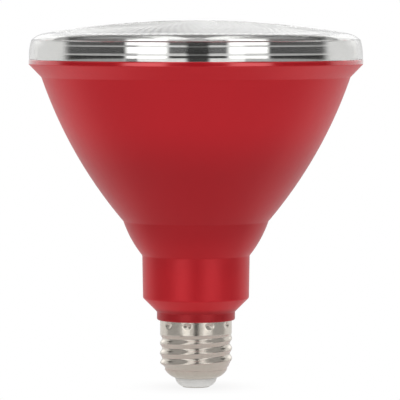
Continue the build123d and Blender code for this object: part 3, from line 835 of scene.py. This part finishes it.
def solderMask():
    material, g = startMaterial("white solder mask")
    away, soft = g.fromAxis(), board["padSoft"]
    out, side = fromSpot(g, board["ring"], 0.0, board["step"])
    fromScrew = g.maths("SQRT", out * out + side * side)
    pad = fromScrew.band(board["padFrom"], board["padTo"], soft)
    out, side = fromSpot(g, led["ring"], led["first"], led["step"])
    ledPad = 1 - abs(out).step(led["padDeep"], led["padDeep"] + soft)
    ledPad = ledPad * (1 - abs(side).step(led["padWide"], led["padWide"] + soft))
    metal = g.maths("MAXIMUM", pad, ledPad)
    trace = 0.0
    for low, high in board["traces"]:
        trace = away.band(low, high, board["traceSoft"]) + trace
    grain = g.noise(0.3, 3.0)
    cloud = g.noise(6.0, 2.0)
    mask = g.blend(cloud * 0.6 + grain * 0.4, *tones(board["mask"]))
    mask = g.blend(trace, mask, rgb(*board["traceTone"]))
    tin = g.blend(grain, *tones(board["tin"]))
    values = {"Base Color": g.blend(metal, mask, tin), "Metallic": metal,
              "Roughness": 0.42 - metal * 0.12 + grain * 0.08,
              "Normal": g.bump(trace + metal * 0.5 + grain * 0.2, 0.3, 0.05)}
    g.finish(g.surface(values))
    return material


laminate = {  # round pads strewn loosely, their pitch in metres, and bands of copper out of a noise
    "pitch": 0.0026, "loose": 0.55, "pad": (0.2, 0.24), "copper": (0.47, 0.53, 0.01),
    "green": [(22, 92, 52), (34, 122, 68)], "weave": (48, 132, 80), "tin": [(186, 184, 178), (214, 212, 206)],
}


def greenLaminate():
    material, g = startMaterial("green laminate")
    point = g.add("ShaderNodeMapping", {}, {"Vector": g.place(), "Scale": (1 / laminate["pitch"],) * 3})
    dot = g.add("ShaderNodeTexVoronoi", {}, {"Vector": point, "Randomness": laminate["loose"]})
    pad = 1 - dot.step(*laminate["pad"])
    weave = g.noise(0.5, 3.0)
    copper = g.noise(3.2, 0.0).band(*laminate["copper"])
    mask = g.blend(copper, *tones(laminate["green"]))
    mask = g.blend(weave * 0.4, mask, rgb(*laminate["weave"]))
    tin = g.blend(weave, *tones(laminate["tin"]))
    values = {"Base Color": g.blend(pad, mask, tin), "Metallic": pad, "Roughness": 0.4 - pad * 0.1 + weave * 0.1,
              "Normal": g.bump(pad + copper * 0.5 + weave * 0.2, 0.3, 0.06)}
    g.finish(g.surface(values))
    return material


def alongNode(g, node):
    # The places of a point along a node's longest side and across it, from its middle, in millimetres.
    low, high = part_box(node)
    order = sorted(range(3), key=lambda k: low[k] - high[k])
    places = g.axes(g.place())
    found = [(places[k] - (low[k] + high[k]) / 2) / millimetre for k in order]
    return found, (high[order[0]] - low[order[0]]) / millimetre


sleeve = {  # lengths in millimetres, turns in degrees
    "bare": 0.35, "bareSoft": 0.05, "stripe": 32.0, "stripeSoft": 2, "marks": 2.4, "dash": (1.1, 1.2),
    "dashTurn": (7, 9), "stripeTone": (206, 208, 212), "metal": [(196, 197, 199), (218, 218, 220)],
}


def capacitorSleeve(node, dark, light):
    material, g = startMaterial(node)
    (along, across, deep), length = alongNode(g, node)
    bareFrom = length / 2 - sleeve["bare"]
    top = along.step(bareFrom - sleeve["bareSoft"], bareFrom)
    turn = abs(g.maths("ARCTAN2", across, deep) * (180 / math.pi))
    stripe = 1 - turn.step(sleeve["stripe"], sleeve["stripe"] + sleeve["stripeSoft"])
    dash = abs(g.maths("WRAP", along, sleeve["marks"], -sleeve["marks"])).step(*sleeve["dash"])
    dash = dash * (1 - turn.step(*sleeve["dashTurn"]))
    grain = g.noise(0.6, 3.0)
    film = g.blend(grain, rgb(*dark), rgb(*light))
    film = g.blend(stripe * (1 - dash), film, rgb(*sleeve["stripeTone"]))
    bare = g.blend(grain, *tones(sleeve["metal"]))
    values = {"Base Color": g.blend(top, film, bare), "Metallic": top, "Roughness": 0.32 + grain * 0.1,
              "Normal": g.bump(grain, 0.15, 0.03)}
    g.finish(g.surface(values))
    return material


tape = {"lap": 1.5, "edge": (1.32, 1.4), "amber": [(214, 152, 30), (230, 176, 54)], "edgeTone": (150, 92, 14)}


def windingTape():
    material, g = startMaterial("amber winding tape")
    lap = abs(g.maths("WRAP", g.height(), tape["lap"], -tape["lap"]))
    edge = lap.step(*tape["edge"])
    grain = g.noise(0.8, 3.0)
    amber = g.blend(grain, *tones(tape["amber"]))
    values = {"Base Color": g.blend(edge, amber, rgb(*tape["edgeTone"])), "Roughness": 0.26 + grain * 0.1,
              "Coat Weight": 0.3 + grain * 0.1, "Normal": g.bump(grain * 0.3 - edge, 0.3, 0.06)}
    g.finish(g.surface(values))
    return material


resistor = {  # places as shares of its length
    "bands": [(-0.26, (172, 28, 30)), (-0.12, (30, 30, 32)), (0.02, (196, 168, 72)), (0.26, (186, 146, 44))],
    "half": 0.035, "soft": 0.008, "body": [(96, 138, 150), (116, 158, 168)],
}


def resistorBody():
    material, g = startMaterial("banded resistor")
    places, length = alongNode(g, "fusible_resistor")
    share, half = places[0] / length, resistor["half"]
    grain = g.noise(0.4, 3.0)
    tone = g.blend(grain, *tones(resistor["body"]))
    for place, colour in resistor["bands"]:
        tone = g.blend(share.band(place - half, place + half, resistor["soft"]), tone, rgb(*colour))
    values = {"Base Color": tone, "Roughness": 0.34 + grain * 0.12, "Normal": g.bump(grain, 0.2, 0.04)}
    g.finish(g.surface(values))
    return material


def finishMarked():
    setFinish("led_board", solderMask())
    package = ledPackage()
    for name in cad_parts:
        if name.startswith("led_") and name[4:].isdigit():
            setFinish(name, package)
    setFinish("driver_board", greenLaminate())
    setFinish("input_capacitor", capacitorSleeve("input_capacitor", (24, 26, 44), (34, 37, 58)))
    setFinish("output_capacitor", capacitorSleeve("output_capacitor", (20, 40, 38), (30, 54, 50)))
    setFinish("transformer_winding", windingTape())
    setFinish("fusible_resistor", resistorBody())
    print("marked solids finished")


def setFinish(node, material):
    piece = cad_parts[node]
    piece.data.materials.clear()
    piece.data.materials.append(material)


def finishSolids():
    for node, (dark, light, size, roughness, metallic, depth) in plainFinishes.items():
        material, g = startMaterial(node)
        blotch = g.noise(size, 3.0)
        grain = g.noise(size / 5, 2.0)
        tone = g.blend(blotch * 0.6 + grain * 0.4, rgb(*dark), rgb(*light))
        values = {"Base Color": tone, "Metallic": metallic, "Roughness": roughness - 0.06 + grain * 0.12,
                  "Normal": g.bump(blotch + grain * 0.5, 0.3, depth)}
        g.finish(g.surface(values))
        setFinish(node, material)
    print("plain solids finished")


bpy.context.scene.view_settings.view_transform = "Standard"
aimCamera()
lightStudio()
layFloor()
makeHousing()
makeLens()
makeReflector()
makeShell()
makeFoot()
finishSolids()
finishMarked()
